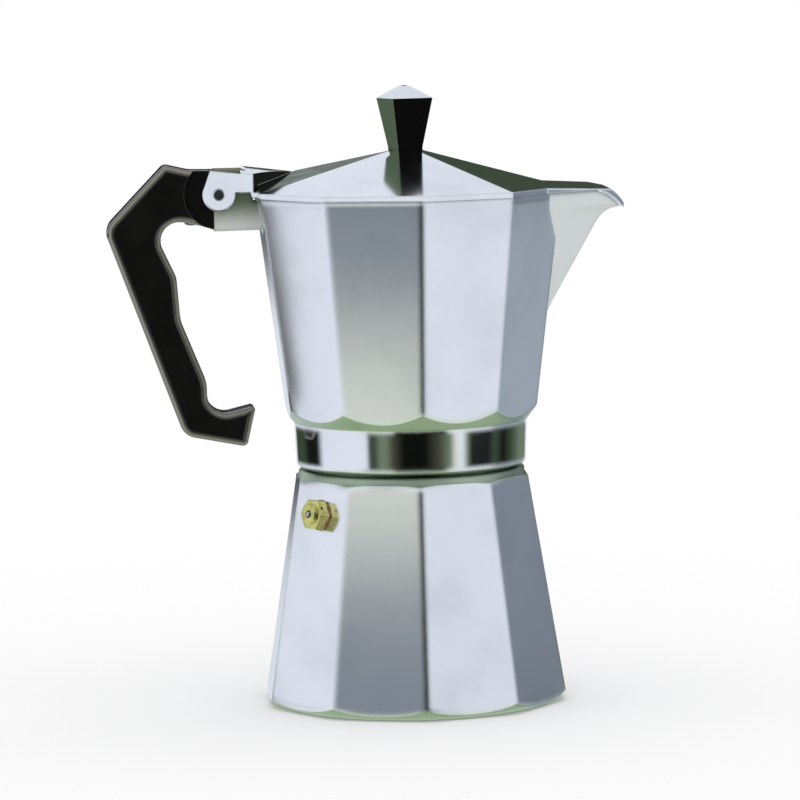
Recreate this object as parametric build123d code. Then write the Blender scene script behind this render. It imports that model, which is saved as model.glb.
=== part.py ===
from build123d import *
import math
import os

# Stovetop moka pot, ten-sided, built as it comes apart on a bench. Millimetres, +Z up, +X along
# the spout. The origin is on the pot's axis at the face that it stands on.

# ---- driving dimensions -------------------------------------------------------------------------
FAR = 200.0                      # reaches past the whole pot, for cutting blocks
SIDES = 10
SHARP_R_PER_FLAT = 1 / math.cos(math.pi / SIDES)      # corner radius of a facet one unit out

# Boiler, lower body
BOILER_CLOCK_DEG = -1.3          # the boiler's facets stand this far round from the collector's
BASE_CORNER_R = 55.1             # corner radius of the facets at z = 0, before the edge is turned
BOILER_TOP_CORNER_R = 42.1       # corner radius where the facets would end
BOILER_FACET_Z = 80.5
BASE_RING_R = 48.2               # flat face that it stands on
BASE_EDGE_R = 9.0                # turned edge between that face and the facets
BASE_EDGE_HEIGHT = 6.0
BASE_EDGE_WIDTH = 7.2
SHOULDER_R = 39.9                # turned shoulder above the facets
SHOULDER_CONE_HEIGHT = 1.7
SHOULDER_HEIGHT = 2.3
BOILER_WALL = 3.0
BOILER_FLOOR = 4.5
NECK_CORE_R = 36.2
NECK_BORE_R = 33.0
NECK_HEIGHT = 12.7
NECK_CONE_HEIGHT = 8.0           # inside, from the faceted wall in to the neck's bore

# Screw thread between boiler and collector, right-handed
THREAD_PITCH = 4.0
THREAD_DEPTH = 1.1
THREAD_ROOT_WIDTH = 2.0
THREAD_TIP_WIDTH = 0.9
THREAD_CLEARANCE = 0.4           # radial, tip to root
THREAD_OFFSET = 1.65             # the collector's ridge lies this far under the neck's
THREAD_TURNS = 2.0
THREAD_SINK = 0.5                # a ridge's foot inside the wall that carries it
THREAD_START = 1.3               # plain neck between the shoulder and the first ridge

# Collector, upper body
BAND_GAP = 1.2                   # between the boiler's shoulder and the collector's band
BAND_LOW_R = 40.6
BAND_TOP_R = 41.2
BAND_HEIGHT = 15.4
BAND_CHAMFER = 0.8
COLLECTOR_CONE_HEIGHT = 5.6
COLLECTOR_LOW_CORNER_R = 45.6
RIM_CORNER_R = 55.1
FACET_HEIGHT = 74.0
COLLECTOR_WALL = 3.0
FLOOR_THICKNESS = 3.6
PEDESTAL_R = 9.0
PEDESTAL_HEIGHT = 10.0
PEDESTAL_TOP_R = 7.6

# Seal between the bodies
FLANGE_THICKNESS = 0.8
GASKET_THICKNESS = 3.0
GASKET_R = 36.2
GASKET_BORE_R = 28.5
PLATE_R = 30.0
PLATE_THICKNESS = 0.6
PLATE_CLEARANCE = 0.2
SEAT_GAP = 0.05

# Funnel
FUNNEL_CLEARANCE = 0.4
FUNNEL_FLANGE_R = 35.6
SHEET = 0.8
CUP_DEPTH = 18.0
CUP_CONE_HEIGHT = 8.0
STEM_R = 5.5
STEM_FLOOR_GAP = 8.0
STEM_SOCKET = 6.0
SCREEN_THICKNESS = 0.6

# Perforated plates
HOLE_R = 0.8
HOLE_RINGS = 5
HOLE_RING_STEP = 5.0
HOLES_PER_RING_STEP = 6

# Column
COLUMN_R = 5.0
COLUMN_BORE_R = 3.6
COLUMN_TOP_R = 4.6
COLUMN_HEIGHT = 52.0             # above the pedestal
COLUMN_SOCKET = 6.0
OUTLET_WIDTH = 4.4
OUTLET_HEIGHT = 8.0

# Fits
PRESS_GAP = 0.02
RUNNING_GAP = 0.08
SIDE_GAP = 0.4                   # hinge ear to hinge lug
SCREW_GAP = 0.15                 # a screw's shank or head in its hole

# Spout: the root is where a side wall leaves the body, the keel is its lower edge
SPOUT_WALL = 2.0
SPOUT_TIP_X = 76.6
SPOUT_FLOOR_RISE = 1.6
SPOUT_DROOP_X = 66.0             # the lip turns down from here
SPOUT_DROOP_Z = 6.1

# Lid
LID_GAP = 0.1
LIP_GAP = 0.2                    # more, where the lid bends down over the spout's lip
LID_EDGE = 1.9
LID_CORNER_R = 55.4
LID_TOP_R = 6.6
LID_HEIGHT = 15.1                # from its lower face to the knob's seat
LID_WALL = 1.9
LID_INSET_RATE = 1.4             # its corners come in by this much for each unit of wall
COVER_RIDGE_END = (65.2, 2.5)    # x, and z above the rim, of the spout cover's ridge
COVER_TIP_X = 77.0
COVER_TIP_WIDTH = 1.4
COVER_EAVE = (46.9, 25.3)        # where the cover's side leaves the lid's edge
HINGE_RIDGE_END = (-40.0, 9.0)   # x, and z above the rim, of the hinge gable's ridge

# Hinge
PIN_X = -66.3
PIN_ABOVE_RIM = 1.6
PIN_R = 1.7
EAR_R = 5.7
EAR_THICKNESS = 2.0
LUG_WIDTH = 11.8
LUG_END_X = -68.0
LUG_BOTTOM_BELOW_RIM = 11.0
LUG_TOP_ABOVE_RIM = 10.6
LUG_SWING_R = 12.2               # the lug stays inside this about the pin
LID_SWING_R = 12.7               # the lid's bridge stays outside this
CROWN_R = 17.5
BRIDGE_FALL = 0.13               # slope of the bridge's top, down towards the pin

# Handle
HANDLE_WIDTH = 16.0
HANDLE_EDGE_R = 3.0
HANDLE_SPARE = 6.0               # length past the lug that is cut off flush
HANDLE_RECESS_R = 12.2           # the handle is as narrow as the lug inside this about the pin
TONGUE_WIDTH = 6.4
TONGUE_END_X = -84.0
TONGUE_LOW_BELOW_RIM = 5.5
TONGUE_TOP_ABOVE_RIM = 6.0
POCKET_GAP = 0.15
HANDLE_SCREW_X = -75.0
HANDLE_SCREW_R = 2.0
HANDLE_SCREW_HEAD_R = 3.3
HANDLE_SCREW_HEAD = 1.8
SLOT_WIDTH = 1.0                 # of the screws
SLOT_DEPTH = 0.9
HANDLE_SCREW_LENGTH = 10.0
HANDLE_LEDGE = 1.6               # left of the handle under its tongue, above the screw's head

# Knob
KNOB_TURN_DEG = 18.0
KNOB_BASE = 9.2
KNOB_TOP = 15.0
KNOB_FOOT = 1.2
KNOB_TAPER_HEIGHT = 17.3
KNOB_PEAK = 4.2
KNOB_PEAK_WIDTH = 2.8
KNOB_SCREW_R = 2.0
KNOB_TIP_R = 1.1
KNOB_TIP_LENGTH = 8.0
KNOB_SCREW_HEAD_R = 3.6
KNOB_SCREW_HEAD = 2.2
KNOB_WASHER_R = 5.2
KNOB_WASHER = 0.8

# Safety valve, square to the boiler's facet
VALVE_FACET_DEG = -144.0
VALVE_Z = 69.2
VALVE_SHANK_R = 3.4
VALVE_SHANK = 7.0
VALVE_BOSS_R = 6.6
VALVE_BOSS = 5.0
VALVE_WASHER_R = 5.3
VALVE_WASHER = 0.6
VALVE_HEX = 10.0                 # across its flats
VALVE_HEX_LENGTH = 3.8
VALVE_COLLAR_R = 3.7
VALVE_COLLAR = 1.1
VALVE_BORE_R = 2.2
VALVE_MOUTH_R = 1.35
VALVE_SEAT = 1.5
VALVE_SEAT_BORE_R = 1.1
VALVE_VENT_R = 0.5
PLUNGER_HEAD_R = 1.95
PLUNGER_HEAD = 1.4
PLUNGER_STEM_R = 0.9
PLUNGER_PROUD = 0.5
VALVE_SPRING_R = 1.5
VALVE_WIRE_R = 0.25
VALVE_SPRING_TURNS = 6

# ---- levels and radii worked out from them ------------------------------------------------------
SHOULDER_TOP_Z = BOILER_FACET_Z + SHOULDER_HEIGHT
NECK_TOP_Z = SHOULDER_TOP_Z + NECK_HEIGHT
BAND_LOW_Z = SHOULDER_TOP_Z + BAND_GAP
BAND_TOP_Z = BAND_LOW_Z + BAND_HEIGHT
FACET_LOW_Z = BAND_TOP_Z + COLLECTOR_CONE_HEIGHT
RIM_Z = FACET_LOW_Z + FACET_HEIGHT
SKIRT_BORE_R = NECK_CORE_R + THREAD_DEPTH + THREAD_CLEARANCE
FLANGE_TOP_Z = NECK_TOP_Z + FLANGE_THICKNESS
GASKET_TOP_Z = FLANGE_TOP_Z + GASKET_THICKNESS - SEAT_GAP
SEAL_SEAT_Z = GASKET_TOP_Z + SEAT_GAP
PLATE_LOW_Z = GASKET_TOP_Z + SEAT_GAP
PLATE_SEAT_Z = PLATE_LOW_Z + PLATE_THICKNESS + PLATE_CLEARANCE
LID_LOW_Z = RIM_Z + LID_GAP
LID_TOP_Z = LID_LOW_Z + LID_HEIGHT
PIN_Z = RIM_Z + PIN_ABOVE_RIM
EAR_INNER_Y = LUG_WIDTH / 2 + SIDE_GAP
EAR_OUTER_Y = EAR_INNER_Y + EAR_THICKNESS
COLLECTOR_SLOPE = (RIM_CORNER_R - COLLECTOR_LOW_CORNER_R) / FACET_HEIGHT
BOILER_SLOPE = (BASE_CORNER_R - BOILER_TOP_CORNER_R) / BOILER_FACET_Z


def collector_corner_r(z):
    """Corner radius of the collector's facets at a height."""
    return RIM_CORNER_R - (RIM_Z - z) * COLLECTOR_SLOPE


def collector_flat_r(z):
    """Distance from the axis to a facet of the collector at a height."""
    return collector_corner_r(z) / SHARP_R_PER_FLAT


def boiler_corner_r(z):
    """Corner radius of the boiler's facets at a height."""
    return BASE_CORNER_R - z * BOILER_SLOPE


def faceted(corner_low, z_low, corner_high, z_high, turn=0.0):
    """Tapered block with flat sides, one of them square to +X."""
    rotation = 180 / SIDES + turn
    low = Pos(0, 0, z_low) * RegularPolygon(corner_low, SIDES, rotation=rotation)
    high = Pos(0, 0, z_high) * RegularPolygon(corner_high, SIDES, rotation=rotation)
    return loft([low.face(), high.face()], ruled=True)


def turned(*points):
    """Solid of revolution about Z of an outline of (radius, height) points."""
    return revolve(Plane.XZ * Polygon(*points, align=None), Axis.Z)


def cylinder_y(radius, length, x, z):
    """Cylinder along Y, centred on y = 0."""
    return Pos(x, 0, z) * Rot(90, 0, 0) * Cylinder(radius, length)


def prism_y(face_xz, half_width):
    """An outline drawn in X and Z, given a width along Y that is centred on y = 0."""
    return extrude(Plane.XZ * face_xz, half_width, both=True)


def prism_z(face_xy, low, high):
    """An outline drawn in X and Y, given a height from low to high."""
    return Pos(0, 0, low) * extrude(face_xy, high - low, dir=(0, 0, 1))


def roof_plane(a, b, c):
    """Plane through three points, facing up."""
    normal = (Vector(*b) - Vector(*a)).cross(Vector(*c) - Vector(*a))
    if normal.Z < 0:
        normal = normal * -1
    return Plane(origin=a, z_dir=normal)


def thread_ridge(wall_r, depth, z_start, turns, turn=0.0):
    """Right-handed ridge on a wall. A negative depth points inwards."""
    helix = Helix(pitch=THREAD_PITCH, height=THREAD_PITCH * turns, radius=wall_r)
    sink = math.copysign(THREAD_SINK, depth)
    section_plane = Plane(origin=helix @ 0, x_dir=(1, 0, 0), z_dir=helix % 0)
    section = section_plane * Polygon(
        (-sink, -THREAD_ROOT_WIDTH / 2),
        (0, -THREAD_ROOT_WIDTH / 2),
        (depth, -THREAD_TIP_WIDTH / 2),
        (depth, THREAD_TIP_WIDTH / 2),
        (0, THREAD_ROOT_WIDTH / 2),
        (-sink, THREAD_ROOT_WIDTH / 2),
        align=None,
    )
    ridge = sweep(section, path=helix, is_frenet=True)
    return Pos(0, 0, z_start) * Rot(0, 0, turn) * ridge


def perforated(radius, thickness, z):
    """Round plate with rings of small holes."""
    sketch = Circle(radius) - Circle(HOLE_R)
    for ring in range(1, HOLE_RINGS + 1):
        sketch -= PolarLocations(ring * HOLE_RING_STEP, ring * HOLES_PER_RING_STEP) * Circle(HOLE_R)
    return Pos(0, 0, z) * extrude(sketch, thickness)


# ---- boiler and its safety valve ----------------------------------------------------------------
def valve_frame():
    """Frame on the boiler's facet with its Z axis along the valve, outwards."""
    azimuth = math.radians(VALVE_FACET_DEG + BOILER_CLOCK_DEG)
    tilt = math.atan(BOILER_SLOPE / SHARP_R_PER_FLAT)
    flat_r = boiler_corner_r(VALVE_Z) / SHARP_R_PER_FLAT
    outwards = (
        math.cos(azimuth) * math.cos(tilt),
        math.sin(azimuth) * math.cos(tilt),
        math.sin(tilt),
    )
    origin = (flat_r * math.cos(azimuth), flat_r * math.sin(azimuth), VALVE_Z)
    along_facet = (-math.sin(azimuth), math.cos(azimuth), 0)
    return Plane(origin=origin, x_dir=along_facet, z_dir=outwards).location


def boiler():
    """Cast lower body: facets cut by a turned base edge and a turned shoulder, and a threaded neck."""
    edge_end = (BASE_RING_R + BASE_EDGE_WIDTH, BASE_EDGE_HEIGHT)
    shoulder_low_z = BOILER_FACET_Z - SHOULDER_CONE_HEIGHT
    cone_run = BOILER_TOP_CORNER_R - SHOULDER_R
    outline = Curve() + [
        Line((0, 0), (BASE_RING_R, 0)),
        RadiusArc((BASE_RING_R, 0), edge_end, -BASE_EDGE_R),
        Polyline(
            edge_end,
            (BASE_CORNER_R + 10, BASE_EDGE_HEIGHT + 8),
            (BASE_CORNER_R + 10, shoulder_low_z - 8 * SHOULDER_CONE_HEIGHT / cone_run),
            (SHOULDER_R, BOILER_FACET_Z),
            (0, BOILER_FACET_Z),
            (0, 0),
        ),
    ]
    envelope = revolve(Plane.XZ * make_face(outline), Axis.Z)
    body = faceted(BASE_CORNER_R, 0, BOILER_TOP_CORNER_R, BOILER_FACET_Z, BOILER_CLOCK_DEG) & envelope
    body += turned(
        (0, BOILER_FACET_Z - 1),
        (SHOULDER_R, BOILER_FACET_Z - 1),
        (SHOULDER_R, SHOULDER_TOP_Z - 0.8),
        (SHOULDER_R - 0.8, SHOULDER_TOP_Z),
        (NECK_CORE_R, SHOULDER_TOP_Z),
        (NECK_CORE_R, NECK_TOP_Z - 0.6),
        (NECK_CORE_R - 0.6, NECK_TOP_Z),
        (0, NECK_TOP_Z),
    )
    ridge_z = SHOULDER_TOP_Z + THREAD_ROOT_WIDTH / 2 + THREAD_START
    body += thread_ridge(NECK_CORE_R, THREAD_DEPTH, ridge_z, THREAD_TURNS, BOILER_CLOCK_DEG)

    wall_corner = BOILER_WALL * SHARP_R_PER_FLAT
    cavity_top = SHOULDER_TOP_Z - NECK_CONE_HEIGHT - BOILER_WALL
    cavity = faceted(
        boiler_corner_r(BOILER_FLOOR) - wall_corner,
        BOILER_FLOOR,
        boiler_corner_r(cavity_top) - wall_corner,
        cavity_top,
        BOILER_CLOCK_DEG,
    )
    round_top = (boiler_corner_r(cavity_top) - wall_corner) / SHARP_R_PER_FLAT
    cavity += turned(
        (0, cavity_top - 1),
        (round_top - 0.2, cavity_top - 1),
        (round_top - 0.2, cavity_top),
        (NECK_BORE_R, cavity_top + NECK_CONE_HEIGHT),
        (NECK_BORE_R, NECK_TOP_Z + 1),
        (0, NECK_TOP_Z + 1),
    )
    body -= cavity
    boss = Cylinder(VALVE_BOSS_R, VALVE_BOSS, align=(Align.CENTER, Align.CENTER, Align.MAX))
    drill = Cylinder(VALVE_SHANK_R + RUNNING_GAP, 4 * VALVE_SHANK)
    body += valve_frame() * Pos(0, 0, -0.5) * boss
    body -= valve_frame() * drill
    return body


def valve_washer():
    """Fibre washer under the valve's hexagon."""
    ring = Circle(VALVE_WASHER_R) - Circle(VALVE_SHANK_R + RUNNING_GAP)
    return valve_frame() * extrude(ring, VALVE_WASHER)


def valve_body():
    """Brass valve: threaded shank, hexagon and round collar, bored for the plunger and its spring."""
    hexagon = RegularPolygon(VALVE_HEX / 2, 6, major_radius=False)
    nut = Pos(0, 0, VALVE_WASHER) * extrude(hexagon, VALVE_HEX_LENGTH)
    hex_top = VALVE_WASHER + VALVE_HEX_LENGTH
    corner = VALVE_HEX / 2 / math.cos(math.pi / 6)
    nut &= turned(
        (0, 0), (corner, 0), (corner, hex_top - 0.5), (VALVE_HEX / 2 - 0.2, hex_top), (0, hex_top)
    )
    collar = turned(
        (0, hex_top),
        (VALVE_COLLAR_R, hex_top),
        (VALVE_COLLAR_R, hex_top + VALVE_COLLAR - 0.5),
        (VALVE_COLLAR_R - 0.5, hex_top + VALVE_COLLAR),
        (0, hex_top + VALVE_COLLAR),
    )
    shank = turned((0, -VALVE_SHANK), (VALVE_SHANK_R, -VALVE_SHANK), (VALVE_SHANK_R, 1), (0, 1))
    bore = turned(
        (0, -VALVE_SHANK - 1),
        (VALVE_BORE_R, -VALVE_SHANK - 1),
        (VALVE_BORE_R, hex_top),
        (VALVE_MOUTH_R, hex_top),
        (VALVE_MOUTH_R, hex_top + VALVE_COLLAR + 1),
        (0, hex_top + VALVE_COLLAR + 1),
    )
    body = nut + collar + shank - bore
    for angle in (30, 90):
        vent = Rot(0, 0, angle) * Rot(0, 90, 0) * Cylinder(VALVE_VENT_R, 2 * VALVE_HEX)
        body -= Pos(0, 0, hex_top - 1.2) * vent
    return valve_frame() * body


def valve_seat():
    """Ring pressed into the valve's inner end, on which the plunger seals."""
    ring = Circle(VALVE_BORE_R - PRESS_GAP) - Circle(VALVE_SEAT_BORE_R)
    return valve_frame() * Pos(0, 0, -VALVE_SHANK) * extrude(ring, VALVE_SEAT)


def valve_plunger():
    """Plunger whose stem shows in the collar's mouth."""
    head_low = -VALVE_SHANK + VALVE_SEAT + SEAT_GAP
    head_top = head_low + PLUNGER_HEAD
    stem_top = VALVE_WASHER + VALVE_HEX_LENGTH + VALVE_COLLAR + PLUNGER_PROUD
    body = turned(
        (0, head_low),
        (PLUNGER_HEAD_R, head_low),
        (PLUNGER_HEAD_R, head_top),
        (PLUNGER_STEM_R, head_top),
        (PLUNGER_STEM_R, stem_top - 0.3),
        (PLUNGER_STEM_R - 0.3, stem_top),
        (0, stem_top),
    )
    return valve_frame() * body


def valve_spring():
    """Coil spring between the plunger's head and the valve's front wall."""
    low = -VALVE_SHANK + VALVE_SEAT + SEAT_GAP + PLUNGER_HEAD + VALVE_WIRE_R + SEAT_GAP
    high = VALVE_WASHER + VALVE_HEX_LENGTH - VALVE_WIRE_R - SEAT_GAP
    height = high - low
    helix = Helix(pitch=height / VALVE_SPRING_TURNS, height=height, radius=VALVE_SPRING_R)
    wire = Plane(origin=helix @ 0, z_dir=helix % 0) * Circle(VALVE_WIRE_R)
    coil = sweep(wire, path=helix, is_frenet=True)
    return valve_frame() * Pos(0, 0, low) * coil


# ---- funnel -------------------------------------------------------------------------------------
CUP_R = NECK_BORE_R - FUNNEL_CLEARANCE
CUP_FLOOR_Z = NECK_TOP_Z - CUP_DEPTH
SCREEN_Z = CUP_FLOOR_Z + SHEET
STEM_TOP_Z = CUP_FLOOR_Z - CUP_CONE_HEIGHT


def funnel_cup():
    """Drawn cup for the coffee, with a flange that rests on the neck and a socket for the stem."""
    socket_r = STEM_R + SHEET
    outer = turned(
        (0, STEM_TOP_Z - STEM_SOCKET),
        (socket_r, STEM_TOP_Z - STEM_SOCKET),
        (socket_r, STEM_TOP_Z),
        (CUP_R, CUP_FLOOR_Z),
        (CUP_R, NECK_TOP_Z),
        (FUNNEL_FLANGE_R, NECK_TOP_Z),
        (FUNNEL_FLANGE_R, FLANGE_TOP_Z),
        (0, FLANGE_TOP_Z),
    )
    inner = turned(
        (0, STEM_TOP_Z - STEM_SOCKET - 1),
        (STEM_R + PRESS_GAP, STEM_TOP_Z - STEM_SOCKET - 1),
        (STEM_R + PRESS_GAP, STEM_TOP_Z + SHEET),
        (CUP_R - 3 * SHEET, CUP_FLOOR_Z + SHEET),
        (CUP_R - SHEET, CUP_FLOOR_Z + SHEET),
        (CUP_R - SHEET, FLANGE_TOP_Z + 1),
        (0, FLANGE_TOP_Z + 1),
    )
    return outer - inner


def funnel_stem():
    """Tube that reaches down into the water, pressed into the cup."""
    low = BOILER_FLOOR + STEM_FLOOR_GAP
    tube = Circle(STEM_R) - Circle(STEM_R - SHEET)
    return Pos(0, 0, low) * extrude(tube, STEM_TOP_Z + SHEET - low)


def funnel_screen():
    """Perforated disc on the step in the cup's floor."""
    return perforated(CUP_R - SHEET - PRESS_GAP, SCREEN_THICKNESS, SCREEN_Z)


# ---- seal ---------------------------------------------------------------------------------------
def gasket():
    """Rubber ring pinched between the funnel's flange and the collector."""
    ring = Circle(GASKET_R) - Circle(GASKET_BORE_R)
    return Pos(0, 0, FLANGE_TOP_Z) * extrude(ring, GASKET_TOP_Z - FLANGE_TOP_Z)


def filter_plate():
    """Perforated plate over the gasket's inner edge."""
    return perforated(PLATE_R, PLATE_THICKNESS, PLATE_LOW_Z)


# ---- collector ----------------------------------------------------------------------------------
def spout_sections():
    """(z, root x, root y, keel x) of the spout's levels, from its foot to above the rim."""
    # The keel runs straight up from the foot, then turns out into the lip.
    keel = (
        (-49.0, -0.6),
        (-38.0, 4.0),
        (-11.0, 16.2),
        (-8.6, 18.0),
        (-7.0, 20.2),
        (-6.2, 23.2),
        (-5.6, SPOUT_TIP_X - collector_flat_r(RIM_Z - 5.6)),
        (2.0, SPOUT_TIP_X - collector_flat_r(RIM_Z + 2.0)),
    )
    side_angle = 2 * math.pi / SIDES
    sections = []
    for below_rim, keel_out in keel:
        z = RIM_Z + below_rim
        flat = collector_flat_r(z)
        half_facet = flat * math.tan(math.pi / SIDES)
        rise = max(0.0, (below_rim + 38.0) / 38.0)
        past_corner = 9.6 * rise - 0.3
        if below_rim < -38.0:
            past_corner = -2.0
        sink = 0.3 if below_rim >= -38.0 else 1.8
        root_x = flat - past_corner * math.sin(side_angle) - sink
        root_y = half_facet + past_corner * math.cos(side_angle)
        sections.append((z, root_x, root_y, flat + keel_out))
    return sections


def spout_block(wall):
    """The spout's outside with no wall, or its channel with one."""
    faces = []
    for z, root_x, root_y, keel_x in spout_sections():
        run = math.hypot(keel_x - root_x, root_y)
        x = root_x - wall * root_y / run
        y = root_y - wall * (keel_x - root_x) / run
        tip = keel_x - wall * run / root_y
        back = RIM_CORNER_R / 2
        lift = SPOUT_FLOOR_RISE if wall else 0.0
        outline = Polygon((back, -y), (x, -y), (tip, 0), (x, y), (back, y), align=None)
        faces.append((Pos(0, 0, z + lift) * outline).face())
    if wall:
        faces = faces[1:]
    return loft(faces, ruled=True)


def droop_curve(rise):
    """Three points of the arc in which the spout's top edge drops to its lip, raised by an amount."""
    knee = (SPOUT_DROOP_X, RIM_Z + rise)
    middle = (SPOUT_DROOP_X + 5.3 + 0.25 * rise, RIM_Z - 0.36 * SPOUT_DROOP_Z + 0.9 * rise)
    end = (SPOUT_TIP_X - 1.0 + 0.55 * rise, RIM_Z - SPOUT_DROOP_Z + 0.35 * rise)
    return knee, middle, end


def above_droop(rise):
    """Everything above the spout's top edge, to trim the spout or the cover over it."""
    knee, middle, end = droop_curve(rise)
    far = (SPOUT_TIP_X + 20, end[1] - 8)
    high = RIM_Z + 30
    outline = Curve() + [
        ThreePointArc(knee, middle, end),
        Polyline(end, far, (far[0], high), (0, high), (0, knee[1]), knee),
    ]
    return prism_y(make_face(outline), RIM_CORNER_R)


def lug():
    """Hinge lug and the tongue that carries the handle, cast with the collector."""
    low = RIM_Z - LUG_BOTTOM_BELOW_RIM
    top = RIM_Z + LUG_TOP_ABOVE_RIM
    inside_x = -collector_flat_r(low) + 1
    block = prism_y(
        Polygon((inside_x, low), (LUG_END_X, low - 0.2), (LUG_END_X, top), (inside_x, top), align=None),
        LUG_WIDTH / 2,
    )
    under_lid = RIM_Z - 1.1
    swing = cylinder_y(LUG_SWING_R, LUG_WIDTH + 2, PIN_X, PIN_Z)
    keep = swing + Pos(0, 0, under_lid - 50) * Box(4 * RIM_CORNER_R, 40, 100)
    crown = Pos(PIN_X, 0, top - CROWN_R) * Rot(0, 90, 0) * Cylinder(CROWN_R, 60)
    block = block & keep & crown
    tongue_low = RIM_Z - TONGUE_LOW_BELOW_RIM
    tongue_height = TONGUE_TOP_ABOVE_RIM + TONGUE_LOW_BELOW_RIM
    tongue = Pos((TONGUE_END_X + LUG_END_X + 2) / 2, 0, tongue_low + tongue_height / 2) * Box(
        LUG_END_X + 2 - TONGUE_END_X, TONGUE_WIDTH, tongue_height
    )
    block += tongue
    block -= cylinder_y(PIN_R + PRESS_GAP, LUG_WIDTH + 2, PIN_X, PIN_Z)
    screw_top = handle_screw_seat_z() + HANDLE_SCREW_LENGTH + 0.5
    hole = Cylinder(HANDLE_SCREW_R + PRESS_GAP, 20, align=(Align.CENTER, Align.CENTER, Align.MAX))
    return block - Pos(HANDLE_SCREW_X, 0, screw_top) * hole


def collector():
    """Cast upper body: facets cut by a turned cone, a turned threaded band, spout, lug and floor."""
    far_r = RIM_CORNER_R + 12
    cone_rate = COLLECTOR_CONE_HEIGHT / (COLLECTOR_LOW_CORNER_R - BAND_TOP_R)
    envelope = turned(
        (0, BAND_LOW_Z),
        (BAND_LOW_R - BAND_CHAMFER, BAND_LOW_Z),
        (BAND_LOW_R, BAND_LOW_Z + BAND_CHAMFER),
        (BAND_TOP_R, BAND_TOP_Z),
        (far_r, BAND_TOP_Z + (far_r - BAND_TOP_R) * cone_rate),
        (far_r, RIM_Z),
        (0, RIM_Z),
    )
    body = faceted(collector_corner_r(BAND_LOW_Z), BAND_LOW_Z, RIM_CORNER_R, RIM_Z) & envelope
    body += spout_block(0.0)
    body += lug()

    floor_z = SEAL_SEAT_Z + FLOOR_THICKNESS
    wall_corner = COLLECTOR_WALL * SHARP_R_PER_FLAT
    floor_r = collector_flat_r(floor_z) - COLLECTOR_WALL - 2.6
    chamber = faceted(
        collector_corner_r(floor_z) - wall_corner, floor_z, RIM_CORNER_R - wall_corner, RIM_Z
    )
    chamber &= turned((0, floor_z), (floor_r, floor_z), (far_r, floor_z + 1.3 * (far_r - floor_r)),
                      (far_r, RIM_Z), (0, RIM_Z))
    lid_clear = Pos(0, 0, RIM_Z) * extrude(
        RegularPolygon(RIM_CORNER_R - wall_corner, SIDES, rotation=180 / SIDES), 4
    )
    pedestal_z = floor_z + PEDESTAL_HEIGHT
    pedestal = turned(
        (0, floor_z - 1), (PEDESTAL_R + 5, floor_z - 1), (PEDESTAL_R + 5, floor_z),
        (PEDESTAL_R, floor_z + 3), (PEDESTAL_TOP_R, pedestal_z - 0.8),
        (PEDESTAL_TOP_R - 0.8, pedestal_z), (0, pedestal_z),
    )
    body -= chamber - pedestal
    body -= spout_block(SPOUT_WALL)
    body -= lid_clear & Pos(SPOUT_TIP_X / 2 + 20, 0, RIM_Z) * Box(SPOUT_TIP_X, FAR, 20)
    body -= above_droop(0.0)

    inlet_z = floor_z + 0.6
    body -= turned(
        (0, BAND_LOW_Z - 1),
        (SKIRT_BORE_R + 0.8, BAND_LOW_Z - 1),
        (SKIRT_BORE_R, BAND_LOW_Z + 0.8),
        (SKIRT_BORE_R, SEAL_SEAT_Z),
        (PLATE_R + PLATE_CLEARANCE, SEAL_SEAT_Z),
        (PLATE_R + PLATE_CLEARANCE, PLATE_SEAT_Z),
        (PLATE_R - 2, PLATE_SEAT_Z),
        (COLUMN_BORE_R, inlet_z),
        (COLUMN_BORE_R, pedestal_z - COLUMN_SOCKET),
        (COLUMN_R + PRESS_GAP, pedestal_z - COLUMN_SOCKET),
        (COLUMN_R + PRESS_GAP, pedestal_z + 1),
        (0, pedestal_z + 1),
    )
    ridge_z = SHOULDER_TOP_Z + THREAD_ROOT_WIDTH / 2 + THREAD_START + THREAD_PITCH - THREAD_OFFSET
    turn = BOILER_CLOCK_DEG
    body += thread_ridge(SKIRT_BORE_R, -THREAD_DEPTH, ridge_z, THREAD_TURNS - 0.5, turn)
    return body


def column():
    """Tube up which the coffee comes, closed at its top, with an outlet on each side."""
    floor_z = SEAL_SEAT_Z + FLOOR_THICKNESS
    pedestal_z = floor_z + PEDESTAL_HEIGHT
    low = pedestal_z - COLUMN_SOCKET
    top = pedestal_z + COLUMN_HEIGHT
    outer = turned(
        (0, low), (COLUMN_R, low), (COLUMN_R, pedestal_z + 0.5), (COLUMN_TOP_R, top - 3),
        (COLUMN_TOP_R - 0.9, top - 1), (COLUMN_TOP_R - 2.6, top), (0, top),
    )
    bore = turned((0, low - 1), (COLUMN_BORE_R, low - 1), (COLUMN_BORE_R, top - 3.5), (0, top - 1.6))
    outlets = Pos(0, 0, top - 3.5 - OUTLET_HEIGHT / 2) * Box(4 * COLUMN_R, OUTLET_WIDTH, OUTLET_HEIGHT)
    return outer - bore - outlets


# ---- hinge and handle ---------------------------------------------------------------------------
def hinge_pin():
    """Steel pin pressed through the lug, on which the lid's ears turn."""
    return cylinder_y(PIN_R, 2 * EAR_OUTER_Y + 0.4, PIN_X, PIN_Z)


def handle_screw_seat_z():
    """Height of the ledge in the handle that the screw's head bears on."""
    return RIM_Z - TONGUE_LOW_BELOW_RIM - POCKET_GAP - HANDLE_LEDGE


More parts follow.
